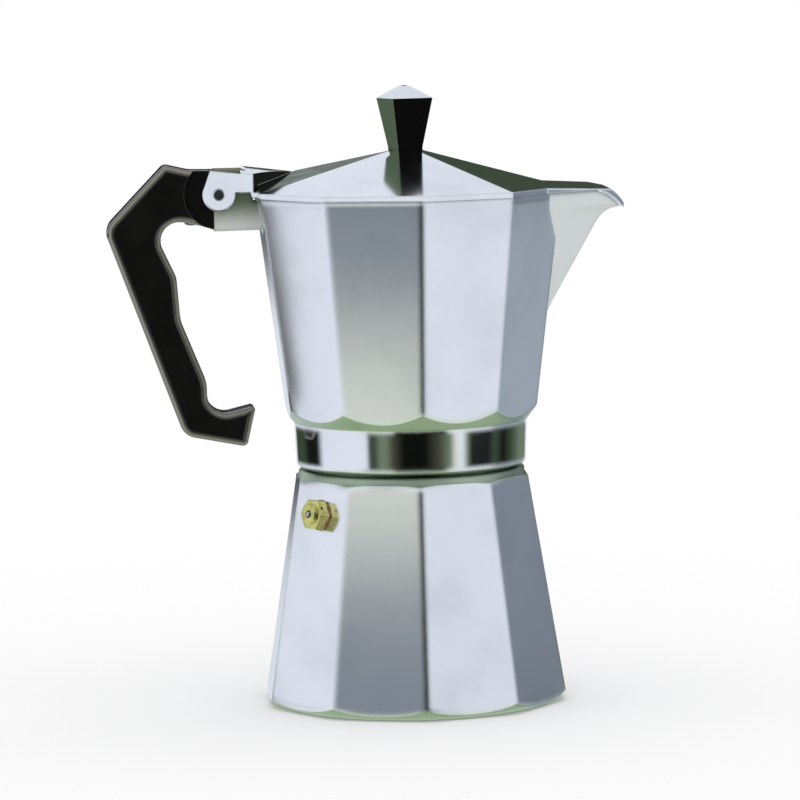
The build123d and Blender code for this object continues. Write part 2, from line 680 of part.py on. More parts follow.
def handle_face():
    """Side outline of the handle: straight back, waved finger grip, and a spare end past the lug."""
    rim = RIM_Z
    spare_x = LUG_END_X + HANDLE_SPARE
    outline = FilletPolyline(
        (spare_x, rim + 10.0),
        (-76.5, rim + 10.3),
        (-85.1, rim + 12.4),
        (-106.5, rim - 9.7),
        (-80.2, rim - 82.8),
        (-58.2, rim - 87.2),
        (-54.7, rim - 72.6),
        (-71.8, rim - 76.7),
        (-71.9, rim - 64.0),
        (-80.6, rim - 42.0),
        (-81.6, rim - 27.0),
        (-90.8, rim - 7.0),
        (-77.0, rim - 8.0),
        (spare_x, rim - LUG_BOTTOM_BELOW_RIM - HANDLE_SPARE / 4),
        radius=(12, 2.5, 7, 6.5, 2, 1.2, 6.5, 14, 14, 10, 6.5, 10),
    )
    return make_face(Curve() + [outline, Line(outline @ 1, outline @ 0)])


def handle():
    """Moulded handle over the lug's tongue, rounded all round its outline."""
    block = prism_y(handle_face(), HANDLE_WIDTH / 2)
    sides = block.faces().sort_by(Axis.Y)
    block = fillet(sides[0].edges() + sides[-1].edges(), HANDLE_EDGE_R)
    block -= Pos(LUG_END_X + 10, 0, RIM_Z) * Box(20, 2 * HANDLE_WIDTH, 40)
    ear_recess = cylinder_y(HANDLE_RECESS_R, 2 * HANDLE_WIDTH, PIN_X, PIN_Z)
    block -= ear_recess - Pos(PIN_X, 0, PIN_Z) * Box(4 * HANDLE_RECESS_R, LUG_WIDTH, 4 * HANDLE_RECESS_R)
    pocket_low = RIM_Z - TONGUE_LOW_BELOW_RIM - POCKET_GAP
    pocket_top = RIM_Z + TONGUE_TOP_ABOVE_RIM + POCKET_GAP
    pocket_end = TONGUE_END_X - POCKET_GAP
    block -= Pos((pocket_end + LUG_END_X + 1) / 2, 0, (pocket_low + pocket_top) / 2) * Box(
        LUG_END_X + 1 - pocket_end, TONGUE_WIDTH + 2 * POCKET_GAP, pocket_top - pocket_low
    )
    downwards = (Align.CENTER, Align.CENTER, Align.MAX)
    shank = Cylinder(HANDLE_SCREW_R + SCREW_GAP, 8, align=downwards)
    recess = Cylinder(HANDLE_SCREW_HEAD_R + SCREW_GAP, 12, align=downwards)
    block -= Pos(HANDLE_SCREW_X, 0, pocket_low + 1) * shank
    block -= Pos(HANDLE_SCREW_X, 0, handle_screw_seat_z()) * recess
    return block


def handle_screw():
    """Screw up through the handle's underside into the tongue."""
    seat = handle_screw_seat_z() - SEAT_GAP
    body = turned(
        (0, seat - HANDLE_SCREW_HEAD),
        (HANDLE_SCREW_HEAD_R - 0.6, seat - HANDLE_SCREW_HEAD),
        (HANDLE_SCREW_HEAD_R, seat - HANDLE_SCREW_HEAD + 0.6),
        (HANDLE_SCREW_HEAD_R, seat),
        (HANDLE_SCREW_R, seat),
        (HANDLE_SCREW_R, seat + HANDLE_SCREW_LENGTH - 0.5),
        (HANDLE_SCREW_R - 0.5, seat + HANDLE_SCREW_LENGTH),
        (0, seat + HANDLE_SCREW_LENGTH),
    )
    body -= Pos(0, 0, seat - HANDLE_SCREW_HEAD) * Box(2 * HANDLE_SCREW_HEAD_R, SLOT_WIDTH, 2 * SLOT_DEPTH)
    return Pos(HANDLE_SCREW_X, 0, 0) * body


# ---- lid ----------------------------------------------------------------------------------------
def gable(outline, ridge_end, eave, drop):
    """Two roof planes over a plan outline, from the knob's seat down to a ridge's end."""
    side = math.copysign(1, ridge_end[0])
    ridge_start = (side * LID_TOP_R, 0, LID_TOP_Z - drop)
    ridge_stop = (ridge_end[0], 0, RIM_Z + ridge_end[1] - drop)
    eave_z = LID_LOW_Z + LID_EDGE - drop
    block = prism_z(Polygon(*outline, align=None), RIM_Z - 12, LID_TOP_Z + 5)
    for half in (1, -1):
        plane = roof_plane(ridge_start, ridge_stop, (eave[0], half * eave[1], eave_z))
        block = split(block, bisect_by=plane, keep=Keep.BOTTOM)
    return block


def both_sides(points):
    """A plan outline from its points with positive Y, mirrored across the X axis."""
    return points + [(x, -y) for x, y in reversed(points)]


def spout_cover(inset, drop):
    """The gable over the spout, bent down over the lip."""
    eave = COVER_EAVE
    outline = both_sides([
        (5, 3.5 - inset),
        (eave[0] - inset, eave[1] - LID_INSET_RATE * inset),
        (COVER_TIP_X - 1.6 * inset, COVER_TIP_WIDTH / 2),
    ])
    block = gable(outline, COVER_RIDGE_END, eave, drop)
    return block - above_droop(COVER_RIDGE_END[1] - drop + LIP_GAP)


def hinge_gable(inset, drop):
    """The low gable from the knob to the hinge."""
    corner = math.pi / SIDES
    eave = (-LID_CORNER_R * math.cos(corner), LID_CORNER_R * math.sin(corner))
    outline = both_sides([(-5, 2.8 - inset), (eave[0] + inset, eave[1] - LID_INSET_RATE * inset)])
    return gable(outline, HINGE_RIDGE_END, eave, drop)


def lid_roof(inset, drop):
    """The lid's facets, the gable over the spout and the gable to the hinge."""
    corner = LID_CORNER_R - LID_INSET_RATE * inset
    slope = (LID_HEIGHT - LID_EDGE) / (LID_CORNER_R - LID_TOP_R)
    edge_z = LID_LOW_Z + LID_EDGE - drop + slope * LID_INSET_RATE * inset
    skirt = prism_z(RegularPolygon(corner, SIDES, rotation=180 / SIDES), LID_LOW_Z, edge_z)
    return skirt + faceted(corner, edge_z, LID_TOP_R, LID_TOP_Z - drop)


def hinge_bridge():
    """Block from the lid to its two ears, crowned along its top and pointed towards the knob."""
    top = RIM_Z + LUG_TOP_ABOVE_RIM + 0.1
    outline = Polygon(
        (-58.6, -EAR_OUTER_Y), (-54.6, -EAR_OUTER_Y), (-40.0, -0.6),
        (-40.0, 0.6), (-54.6, EAR_OUTER_Y), (-58.6, EAR_OUTER_Y), align=None,
    )
    block = prism_z(outline, LID_LOW_Z + LID_EDGE, LID_TOP_Z)
    crown = Cylinder(CROWN_R, 60)
    tilt = math.degrees(math.atan(BRIDGE_FALL))
    crown = Pos(-55, 0, top - CROWN_R) * Rot(0, 90 + tilt, 0) * crown
    return block & crown


def ear_plates():
    """Two cheeks that straddle the lug, round about the pin."""
    rim = RIM_Z
    cheek = Polygon(
        (-69.2, rim + 10.1), (-55.6, rim + 8.5), (-54.0, rim + 2.1), (-52.0, rim + 2.1),
        (-52.0, LID_LOW_Z), (-54.6, LID_LOW_Z), (-55.2, rim + 2.1), (PIN_X, rim + 2.1),
        (PIN_X - EAR_R, PIN_Z + 0.9), align=None,
    )
    plates = prism_y(cheek, EAR_OUTER_Y) + cylinder_y(EAR_R, 2 * EAR_OUTER_Y, PIN_X, PIN_Z)
    return plates


def lid():
    """Cast lid: facets, spout cover, hinge gable, bridge and ears."""
    body = lid_roof(0.0, 0.0)
    under_lid = Pos(0, 0, LID_LOW_Z - FAR / 2) * Box(2 * FAR, FAR, FAR)
    before_droop = Pos(SPOUT_DROOP_X - FAR / 2, 0, RIM_Z) * Box(FAR, FAR, FAR)
    lip = spout_cover(0.0, 0.0) - before_droop
    body += spout_cover(0.0, 0.0) - under_lid
    body += lip & above_droop(LID_GAP + LIP_GAP)
    body += hinge_gable(0.0, 0.0) - under_lid
    body += hinge_bridge()
    body += ear_plates()
    body -= lid_roof(LID_WALL, LID_WALL)
    body -= spout_cover(LID_WALL, LID_WALL) & before_droop
    body -= hinge_gable(LID_WALL, LID_WALL)
    body -= cylinder_y(LID_SWING_R, 2 * EAR_INNER_Y, PIN_X, PIN_Z)
    body -= cylinder_y(PIN_R + RUNNING_GAP, 3 * EAR_OUTER_Y, PIN_X, PIN_Z)
    body -= Pos(0, 0, LID_TOP_Z) * Cylinder(KNOB_SCREW_R + SCREW_GAP, 20)
    return body


# ---- knob ---------------------------------------------------------------------------------------
def knob():
    """Four-sided knob that widens upwards to a low pyramid, with a stepped bore."""
    foot = LID_TOP_Z
    waist = foot + KNOB_FOOT
    shoulder = waist + KNOB_TAPER_HEIGHT
    peak = shoulder + KNOB_PEAK
    body = Pos(0, 0, foot) * extrude(Rectangle(KNOB_BASE, KNOB_BASE), KNOB_FOOT)
    base_face = (Pos(0, 0, waist) * Rectangle(KNOB_BASE, KNOB_BASE)).face()
    wide_face = (Pos(0, 0, shoulder) * Rectangle(KNOB_TOP, KNOB_TOP)).face()
    peak_face = (Pos(0, 0, peak) * Rectangle(KNOB_PEAK_WIDTH, KNOB_PEAK_WIDTH)).face()
    body += loft([base_face, wide_face], ruled=True)
    body += loft([wide_face, peak_face], ruled=True)
    upwards = (Align.CENTER, Align.CENTER, Align.MIN)
    step_z = peak - KNOB_TIP_LENGTH
    body -= Pos(0, 0, foot - 1) * Cylinder(KNOB_SCREW_R + PRESS_GAP, step_z - foot + 1, align=upwards)
    body -= Pos(0, 0, step_z - 1) * Cylinder(KNOB_TIP_R + PRESS_GAP, KNOB_TIP_LENGTH + 2, align=upwards)
    return Rot(0, 0, KNOB_TURN_DEG) * body


def knob_washer():
    """Washer between the lid's underside and the knob screw's head."""
    ring = Circle(KNOB_WASHER_R) - Circle(KNOB_SCREW_R + SCREW_GAP)
    return Pos(0, 0, LID_TOP_Z - LID_WALL - KNOB_WASHER) * extrude(ring, KNOB_WASHER)


def knob_screw():
    """Screw up through the lid and the knob, whose slim end shows at the knob's peak."""
    seat = LID_TOP_Z - LID_WALL - KNOB_WASHER
    peak = LID_TOP_Z + KNOB_FOOT + KNOB_TAPER_HEIGHT + KNOB_PEAK
    step_z = peak - KNOB_TIP_LENGTH - 0.3
    body = turned(
        (0, seat - KNOB_SCREW_HEAD),
        (KNOB_SCREW_HEAD_R - 1.0, seat - KNOB_SCREW_HEAD),
        (KNOB_SCREW_HEAD_R, seat - KNOB_SCREW_HEAD + 0.8),
        (KNOB_SCREW_HEAD_R, seat),
        (KNOB_SCREW_R, seat),
        (KNOB_SCREW_R, step_z),
        (KNOB_TIP_R, step_z),
        (KNOB_TIP_R, peak),
        (KNOB_TIP_R - 0.4, peak + 0.2),
        (0, peak + 0.2),
    )
    return body - Pos(0, 0, seat - KNOB_SCREW_HEAD) * Box(2 * KNOB_SCREW_HEAD_R, SLOT_WIDTH, 2 * SLOT_DEPTH)


PIECES = {
    "boiler": boiler,
    "valve_washer": valve_washer,
    "valve_body": valve_body,
    "valve_seat": valve_seat,
    "valve_plunger": valve_plunger,
    "valve_spring": valve_spring,
    "funnel_cup": funnel_cup,
    "funnel_stem": funnel_stem,
    "funnel_screen": funnel_screen,
    "gasket": gasket,
    "filter_plate": filter_plate,
    "collector": collector,
    "column": column,
    "hinge_pin": hinge_pin,
    "handle": handle,
    "handle_screw": handle_screw,
    "lid": lid,
    "knob": knob,
    "knob_washer": knob_washer,
    "knob_screw": knob_screw,
}

os.makedirs("parts", exist_ok=True)
for name, make in PIECES.items():
    export_step(make(), f"parts/{name}.step")
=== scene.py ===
import math

import bmesh
import bpy
from mathutils import Matrix, Vector


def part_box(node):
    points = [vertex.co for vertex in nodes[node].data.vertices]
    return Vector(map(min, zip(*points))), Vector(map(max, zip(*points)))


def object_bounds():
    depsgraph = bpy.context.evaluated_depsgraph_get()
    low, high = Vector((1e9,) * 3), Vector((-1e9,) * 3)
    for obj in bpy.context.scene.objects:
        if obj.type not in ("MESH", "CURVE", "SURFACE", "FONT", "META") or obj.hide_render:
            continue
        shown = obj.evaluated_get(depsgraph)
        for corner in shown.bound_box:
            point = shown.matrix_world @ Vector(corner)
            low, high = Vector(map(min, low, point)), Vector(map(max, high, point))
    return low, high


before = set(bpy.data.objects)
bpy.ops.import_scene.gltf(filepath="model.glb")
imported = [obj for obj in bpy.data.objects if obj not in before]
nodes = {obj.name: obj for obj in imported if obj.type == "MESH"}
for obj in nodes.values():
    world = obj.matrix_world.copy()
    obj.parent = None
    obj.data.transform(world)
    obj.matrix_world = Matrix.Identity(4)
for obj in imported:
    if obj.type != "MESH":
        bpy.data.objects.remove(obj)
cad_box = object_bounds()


# ---- Boiler -------------------------------------------------------------------------------------
# The lower chamber is cast in aluminium. Its ten facets are ground and polished along their length,
# then the foot's edge and the shoulder are turned, which cuts the facets off in scallops.
class Value:
    """The output of a shader node, for sums written as Python expressions."""

    def __init__(self, finish, socket):
        self.finish = finish
        self.socket = socket

    def sum(self, operation, *values):
        return self.finish.node("ShaderNodeMath", {"operation": operation}, dict(enumerate(values)))

    def __add__(self, other):
        return self.sum("ADD", self, other)

    def __sub__(self, other):
        return self.sum("SUBTRACT", self, other)

    def __rsub__(self, other):
        return self.sum("SUBTRACT", other, self)

    def __mul__(self, other):
        return self.sum("MULTIPLY", self, other)

    def __truediv__(self, other):
        return self.sum("DIVIDE", self, other)

    def __pow__(self, other):
        return self.sum("POWER", self, other)

    def __abs__(self):
        return self.sum("ABSOLUTE", self)

    __radd__ = __add__
    __rmul__ = __mul__


class Finish:
    """A node tree being wired up, for a material or for the studio's surroundings."""

    def __init__(self, tree):
        self.tree = tree

    def feed(self, socket, value):
        if isinstance(value, Value):
            self.tree.links.new(value.socket, socket)
        else:
            socket.default_value = value

    def node(self, kind, settings=(), inputs=(), output=0):
        """Adds a node: settings first, then a value or a link for each input named or numbered."""
        made = self.tree.nodes.new(kind)
        for name, value in dict(settings).items():
            if name == "stops":
                self.set_stops(made.color_ramp, value)
            else:
                setattr(made, name, value)
        for name, value in dict(inputs).items():
            self.feed(made.inputs[name], value)
        return Value(self, made.outputs[output])

    def set_stops(self, ramp, stops):
        while len(ramp.elements) < len(stops):
            ramp.elements.new(1.0)
        for element, (position, colour) in zip(ramp.elements, stops):
            element.position = position
            element.color = (*colour, 1.0)

    def split(self, vector):
        """The three parts of a vector."""
        return [self.node("ShaderNodeSeparateXYZ", inputs={0: vector}, output=axis) for axis in "XYZ"]

    def place(self):
        """The point on the pot, in metres."""
        return self.node("ShaderNodeTexCoord", output="Object")

    def facing(self, axis):
        """The share of the surface's normal along an axis."""
        normal = self.node("ShaderNodeTexCoord", output="Normal")
        return self.node("ShaderNodeSeparateXYZ", inputs={0: normal}, output=axis)

    def step(self, value, low, high):
        """0 below one value and 1 above the other, with a smooth rise between them."""
        limits = {"Value": value, "From Min": low, "From Max": high}
        return self.node("ShaderNodeMapRange", {"interpolation_type": "SMOOTHSTEP"}, limits)

    def mix(self, factor, first, second):
        """One colour into another."""
        inputs = {0: factor, 6: self.colour(first), 7: self.colour(second)}
        return self.node("ShaderNodeMix", {"data_type": "RGBA"}, inputs, output=2)

    def colour(self, value):
        return value if isinstance(value, Value) else (*value, 1.0)

    def point(self, x, y, z):
        return self.node("ShaderNodeCombineXYZ", inputs={0: x, 1: y, 2: z})

    def noise(self, vector, scale, detail=3.0):
        inputs = {"Vector": vector, "Scale": scale, "Detail": detail}
        return self.node("ShaderNodeTexNoise", inputs=inputs)

    def rounded_normal(self, radius):
        """The normal of a surface whose edges are broken by a small radius."""
        return self.node("ShaderNodeBevel", {"samples": 6}, {"Radius": radius})

    def relief(self, height, normal):
        """A normal that follows a height in metres."""
        inputs = {"Strength": 1.0, "Distance": 1.0, "Height": height, "Normal": normal}
        return self.node("ShaderNodeBump", inputs=inputs)


def new_material(name, **surface):
    """A material and its finish; surface gives values that are the same all over."""
    material = bpy.data.materials.new(name)
    material.use_nodes = True
    finish = Finish(material.node_tree)
    dress(finish, **surface)
    return material, finish


def dress(finish, **surface):
    """Sets sockets of the surface's shader, named with underscores for spaces."""
    shader = finish.tree.nodes["Principled BSDF"]
    for name, value in surface.items():
        finish.feed(shader.inputs[name.replace("_", " ").title().replace("Ior", "IOR")], value)


def coat_node(name, material):
    """Gives a node of the frame this material."""
    piece = nodes[name]
    if not piece.material_slots:
        piece.data.materials.append(material)
    for slot in piece.material_slots:
        slot.material = material


POLISHED_COLOUR = (0.90, 0.91, 0.93)
WORN_COLOUR = (0.82, 0.84, 0.86)
# The turned faces are satin aluminium, and their green is a painted reflection.
TURNED_PAINTED_GREEN = (0.45, 0.54, 0.41)
CAST_EDGE_R = 0.0034
FACET_CROWN = 0.6                # how fast a facet's normal turns along its length
TURNED_FACE = (0.28, 0.40)       # upward shares of the normal between which a face becomes turned
BLOTCHES = (0.42, 0.72)          # share of the noise at which polish starts and ends being worn
BLEND = 0.0002                   # width of a boundary between two finishes
RING_RATE = 9000.0
RING_RELIEF = 0.0000020
STREAK_RELIEF = 0.0000015


def cast_aluminium(name, crown_z, turned_above=None, band=None):
    """Polished facets, very slightly crowned along their length, and satin turned faces.

    Crown_z is where the facets' crown has no slope. Only the collector gives a band's heights, and
    its crown_z is its rim. Its spout and lug are blasted dull, and the lug carries a painted shade,
    dark under the rim and pale lower down."""
    material, finish = new_material(name)
    place = finish.place()
    x, y, z = finish.split(place)
    radius = (x * x + y * y) ** 0.5
    turned = finish.step(abs(finish.facing("Z")), *TURNED_FACE)
    if turned_above:
        turned = turned + finish.step(z, turned_above - BLEND, turned_above) * (1.0 - turned)
    facet = 1.0 - turned
    streaks = finish.noise(finish.point(x * 9.0, y * 9.0, z * 0.5), 260.0)
    blotches = finish.noise(place, 38.0, 4.0)
    rings = finish.node("ShaderNodeMath", {"operation": "SINE"}, {0: (z + radius) * RING_RATE})
    colour = finish.mix(finish.step(blotches, *BLOTCHES), POLISHED_COLOUR, WORN_COLOUR)
    # Turned faces take a painted green reflection in their colour.
    colour = finish.mix(turned, colour, TURNED_PAINTED_GREEN)
    facet_roughness = 0.13 + 0.05 * streaks + 0.05 * blotches
    roughness = facet_roughness * facet + (0.30 + 0.06 * blotches) * turned
    metallic = 1.0
    crown = (z - crown_z) * (z - crown_z) * -FACET_CROWN * facet
    texture = streaks * STREAK_RELIEF * facet + rings * RING_RELIEF * turned
    if band:
        band_low, band_top = band
        on_band = finish.step(z, band_low - BLEND, band_low) * facet
        on_band = on_band * (1.0 - finish.step(z, band_top, band_top + BLEND))
        roughness = roughness * (1.0 - on_band) + (0.06 + 0.03 * streaks) * on_band
        crown = crown * (1.0 - on_band) - z * BAND_TILT * on_band

        facet_reach = RIM_FLAT_R - (crown_z - z) * FACET_SLOPE
        past_side = x * FACET_FACING[0] + abs(y) * FACET_FACING[1] - facet_reach
        past_end = finish.step(x - facet_reach, *SPOUT_EDGE)
        spout = past_end + finish.step(past_side, *SPOUT_EDGE) * (1.0 - past_end)
        lug = finish.step(x * -1.0 - facet_reach, *LUG_EDGE)
        blasted = spout + lug
        # The lug's colour is painted shade and light: dark green under the rim, paler lower down.
        lug_painted_shade = finish.step(z, crown_z - LUG_SHADE, crown_z)
        colour = finish.mix(spout, colour, SPOUT_COLOUR)
        colour = finish.mix(lug, colour, finish.mix(lug_painted_shade, LUG_PAINTED_LIGHT_COLOUR, LUG_PAINTED_SHADE_COLOUR))
        metallic = 1.0 - 0.9 * blasted
        roughness = roughness * (1.0 - blasted) + (0.55 + 0.1 * blotches) * blasted
        crown = crown * (1.0 - blasted)
    normal = finish.relief(crown + texture, finish.rounded_normal(CAST_EDGE_R))
    dress(finish, base_color=colour, metallic=metallic, roughness=roughness, normal=normal)
    return material


boiler_low, boiler_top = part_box("boiler")
BOILER_NECK = 0.0150             # from the end of its facets to the top of its neck
boiler_metal = cast_aluminium("boiler_aluminium", boiler_low.z, boiler_top.z - BOILER_NECK)
coat_node("boiler", boiler_metal)


# ---- Safety valve -------------------------------------------------------------------------------
# A brass hexagon with a turned collar, screwed through the boiler's wall on a fibre washer. Inside
# it a steel plunger is held on its seat by a spring.
def turned_metal(name, colour, dull, roughness, edge_r):
    """A small turned or stamped metal piece, with a cloudy tarnish."""
    material, finish = new_material(name, metallic=1.0)
    clouds = finish.noise(finish.place(), 420.0, 5.0)
    grain = finish.noise(finish.place(), 2600.0, 2.0)
    tone = finish.mix(finish.step(clouds, 0.35, 0.70), colour, dull)
    normal = finish.relief(grain * 0.000004, finish.rounded_normal(edge_r))
    dress(finish, base_color=tone, roughness=roughness + 0.12 * clouds, normal=normal)
    return material


brass = turned_metal("valve_brass", (0.74, 0.70, 0.26), (0.50, 0.48, 0.14), 0.22, 0.0003)
steel = turned_metal("plain_steel", (0.55, 0.56, 0.57), (0.40, 0.41, 0.42), 0.25, 0.0002)
for piece in ("valve_body", "valve_seat"):
    coat_node(piece, brass)
for piece in ("valve_plunger", "valve_spring"):
    coat_node(piece, steel)


def soft_seal(name, colour, fleck, scale):
    """Fibre or rubber: dull, with a fine fleck and a slight tooth."""
    material, finish = new_material(name, metallic=0.0)
    flecks = finish.noise(finish.place(), scale, 5.0)
    tone = finish.mix(finish.step(flecks, 0.38, 0.66), colour, fleck)
    normal = finish.relief(flecks * 0.00003, finish.rounded_normal(0.0003))
    dress(finish, base_color=tone, roughness=0.55 + 0.2 * flecks, normal=normal)
    return material


coat_node("valve_washer", soft_seal("washer_fibre", (0.34, 0.17, 0.10), (0.22, 0.10, 0.06), 900.0))


# ---- Funnel, gasket and filter ------------------------------------------------------------------
# The coffee basket, its tube and the two perforated discs are pressed from aluminium sheet. The
# gasket is a ring of pale rubber.
sheet_metal = turned_metal("pressed_aluminium", (0.80, 0.81, 0.83), (0.68, 0.69, 0.70), 0.26, 0.0003)
for piece in ("funnel_cup", "funnel_stem", "funnel_screen", "filter_plate", "column"):
    coat_node(piece, sheet_metal)
coat_node("gasket", soft_seal("gasket_rubber", (0.88, 0.87, 0.82), (0.78, 0.76, 0.70), 500.0))


# ---- Collector ----------------------------------------------------------------------------------
# The upper chamber, cast with its spout and hinge lug. The band under the facets is turned and
# polished bright.
BAND_HEIGHT = 0.0154
BAND_TILT = 0.039
RIM_ABOVE_BAND = 0.0950          # from the band's foot to the rim
RIM_FLAT_R = 0.0524              # how far out the facets are at the rim
FACET_SLOPE = 0.1221             # how fast they come in below it
FACET_FACING = (0.809, 0.588)    # the way that the facet beside the spout faces, in plan
SPOUT_EDGE = (0.0001, 0.0003)
LUG_EDGE = (0.0002, 0.0005)
SPOUT_COLOUR = (0.66, 0.70, 0.69)
LUG_SHADE = 0.0115               # depth below the rim over which the lug's painted shade turns to a paler painted light
LUG_PAINTED_LIGHT_COLOUR = (0.62, 0.65, 0.62)
LUG_PAINTED_SHADE_COLOUR = (0.11, 0.14, 0.08)
collector_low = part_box("collector")[0]
band_top = collector_low.z + BAND_HEIGHT
rim_z = collector_low.z + RIM_ABOVE_BAND
collector_metal = cast_aluminium("collector_aluminium", rim_z, band=(collector_low.z, band_top))
coat_node("collector", collector_metal)


# ---- Handle -------------------------------------------------------------------------------------
# Moulded in black phenolic with a high gloss and the faint orange-peel of the mould, with a pale
# painted highlight along its rounded border. A steel screw holds it from below.
def moulded_black(name):
    material, finish = new_material(name, metallic=0.0, coat_weight=1.0, coat_roughness=0.12)
    swirl = finish.noise(finish.place(), 90.0, 3.0)
    peel = finish.noise(finish.place(), 700.0, 2.0)
    tone = finish.mix(swirl, (0.003, 0.0035, 0.003), (0.008, 0.008, 0.006))
    sideways = abs(finish.facing("Y"))
    # A painted highlight: a pale beige tone where the rounded border turns sideways.
    painted_highlight = finish.step(sideways, 0.45, 0.70) * (1.0 - finish.step(sideways, 0.72, 0.93))
    tone = finish.mix(painted_highlight, tone, (0.20, 0.18, 0.12))
    normal = finish.relief(peel * 0.000012, finish.rounded_normal(0.0006))
    dress(finish, base_color=tone, roughness=0.22 + 0.1 * swirl, normal=normal)
    return material


handle_black = moulded_black("handle_phenolic")
coat_node("handle", handle_black)
coat_node("handle_screw", steel)
coat_node("hinge_pin", steel)


# ---- Lid ----------------------------------------------------------------------------------------
# Cast like the collector, with low facets up to the knob, a gable over the spout and another to
# the hinge, whose ears stand either side of the lug.
HINGE_SPREAD = 0.325             # half width of the hinge's gable, for each unit back from the axis
GABLE_EDGE = 0.0004
BRIDGE_START_X = 0.040           # how far back the bridge starts, as a point
BRIDGE_END_X = 0.0546            # how far back it has its full width
BRIDGE_POINT_Y = 0.0006
BRIDGE_SPREAD = 0.527
GABLE_PAINTED_SHADE = (0.060, 0.085, 0.045)
GABLE_PAINTED_STREAK = (0.18, 0.22, 0.16)
UPRIGHT_TILT = 0.42
BRIDGE_SIDE_PAINTED_SHADE = (0.012, 0.014, 0.010)


def lid_aluminium():
    material, finish = new_material("lid_aluminium", metallic=1.0)
    place = finish.place()
    x, y, z = finish.split(place)
    upward = abs(finish.facing("Z"))
    backward = x * -1.0
    blotches = finish.noise(place, 38.0, 4.0)
    streaks = finish.noise(place, 900.0)
    colour = finish.mix(finish.step(blotches, *BLOTCHES), POLISHED_COLOUR, WORN_COLOUR)
    upright = 1.0 - finish.step(upward, 0.10, 0.25)
    past_bridge = abs(y) - BRIDGE_POINT_Y - (backward - BRIDGE_START_X) * BRIDGE_SPREAD
    gable = finish.step(backward * HINGE_SPREAD - abs(y), 0.0, GABLE_EDGE)
    gable = gable * finish.step(past_bridge, 0.0, GABLE_EDGE) * (1.0 - upright)
    bridge_side = finish.step(backward, BRIDGE_START_X, BRIDGE_START_X + 0.001)
    bridge_side = bridge_side * (1.0 - finish.step(backward, BRIDGE_END_X - 0.0006, BRIDGE_END_X))
    bridge_side = bridge_side * (1.0 - finish.step(upward, 0.20, 0.35))
    bridge_side = bridge_side * finish.step(z, rim_z + 0.0021, rim_z + 0.0026)
    # The hinge's gable is painted dark green with paler streaks: a painted dark reflection.
    gable_streak_noise = finish.noise(finish.point(x * 0.25, y, z), 300.0, 2.0)
    gable_painted_shade = finish.mix(finish.step(gable_streak_noise, 0.40, 0.75), GABLE_PAINTED_SHADE, GABLE_PAINTED_STREAK)
    colour = finish.mix(gable, colour, gable_painted_shade)
    # The bridge's upright sides are painted near black as shade.
    colour = finish.mix(bridge_side, colour, BRIDGE_SIDE_PAINTED_SHADE)
    slant = z * -UPRIGHT_TILT * upright
    normal = finish.relief(slant + streaks * 0.000001, finish.rounded_normal(0.0009))
    dress(finish, base_color=colour, roughness=0.08 + 0.06 * blotches, normal=normal)
    return material


coat_node("lid", lid_aluminium())


# ---- Knob ---------------------------------------------------------------------------------------
# A four-sided knob with a bright metal top. Its sides are painted dark as shade, and the two that
# face the hinge carry a painted green reflection. A blackened screw from under the lid holds it, and
# the screw's slim end shows at the peak.
def knob_finish():
    material, finish = new_material("knob_metal_painted_sides", specular_ior_level=0.03)
    blotches = finish.noise(finish.place(), 160.0, 4.0)
    bright = finish.step(finish.facing("Z"), 0.30, 0.60)
    # Painted shade and reflection: sides facing the spout are painted black, sides facing the hinge
    # green.
    painted_black_shade = finish.mix(blotches, (0.001, 0.001, 0.001), (0.003, 0.003, 0.002))
    painted_green_reflection = finish.mix(blotches, (0.070, 0.110, 0.055), (0.085, 0.130, 0.065))
    painted_dark_sides = finish.mix(finish.step(finish.facing("X"), -0.2, 0.2), painted_green_reflection, painted_black_shade)
    normal = finish.relief(blotches * 0.00001, finish.rounded_normal(0.0004))
    dress(
        finish,
        base_color=finish.mix(bright, painted_dark_sides, (0.86, 0.87, 0.90)),
        metallic=bright,
        roughness=0.12 + 0.08 * blotches + 0.1 * bright,
        normal=normal,
    )
    return material


coat_node("knob", knob_finish())
coat_node("knob_washer", steel)
black_steel = turned_metal("blackened_steel", (0.02, 0.02, 0.02), (0.01, 0.01, 0.01), 0.45, 0.0002)
coat_node("knob_screw", black_steel)


# ---- Studio -------------------------------------------------------------------------------------
# A white floor, soft white light all round, and broad light and dark cards that the polished metal
# mirrors. The cards stand as a wide ring about the pot and are seen only in gloss.
CAMERA_AZIMUTH = math.radians(-5.20)
CAMERA_ELEVATION = math.radians(5.75)
CAMERA_ROLL = math.radians(-1.12)
CAMERA_DISTANCE = 1.6
CAMERA_ASIDE = -0.00358
CAMERA_TARGET_Z = 0.1062
FOCAL_LENGTH = 203.9

toward = Vector((
    math.sin(CAMERA_AZIMUTH) * math.cos(CAMERA_ELEVATION),
    -math.cos(CAMERA_AZIMUTH) * math.cos(CAMERA_ELEVATION),
    math.sin(CAMERA_ELEVATION),
))
level_right = Vector((math.cos(CAMERA_AZIMUTH), math.sin(CAMERA_AZIMUTH), 0.0))
level_up = toward.cross(level_right)
right = level_right * math.cos(CAMERA_ROLL) + level_up * math.sin(CAMERA_ROLL)
up = level_up * math.cos(CAMERA_ROLL) - level_right * math.sin(CAMERA_ROLL)
target = level_right * CAMERA_ASIDE + Vector((0.0, 0.0, CAMERA_TARGET_Z))
camera_data = bpy.data.cameras.new("studio_camera")
camera_data.lens = FOCAL_LENGTH
camera_data.clip_end = 20.0
camera = bpy.data.objects.new("studio_camera", camera_data)
turn = Matrix((right, up, toward)).transposed().to_4x4()
camera.matrix_world = Matrix.Translation(target + toward * CAMERA_DISTANCE) @ turn
bpy.context.scene.collection.objects.link(camera)
bpy.context.scene.camera = camera

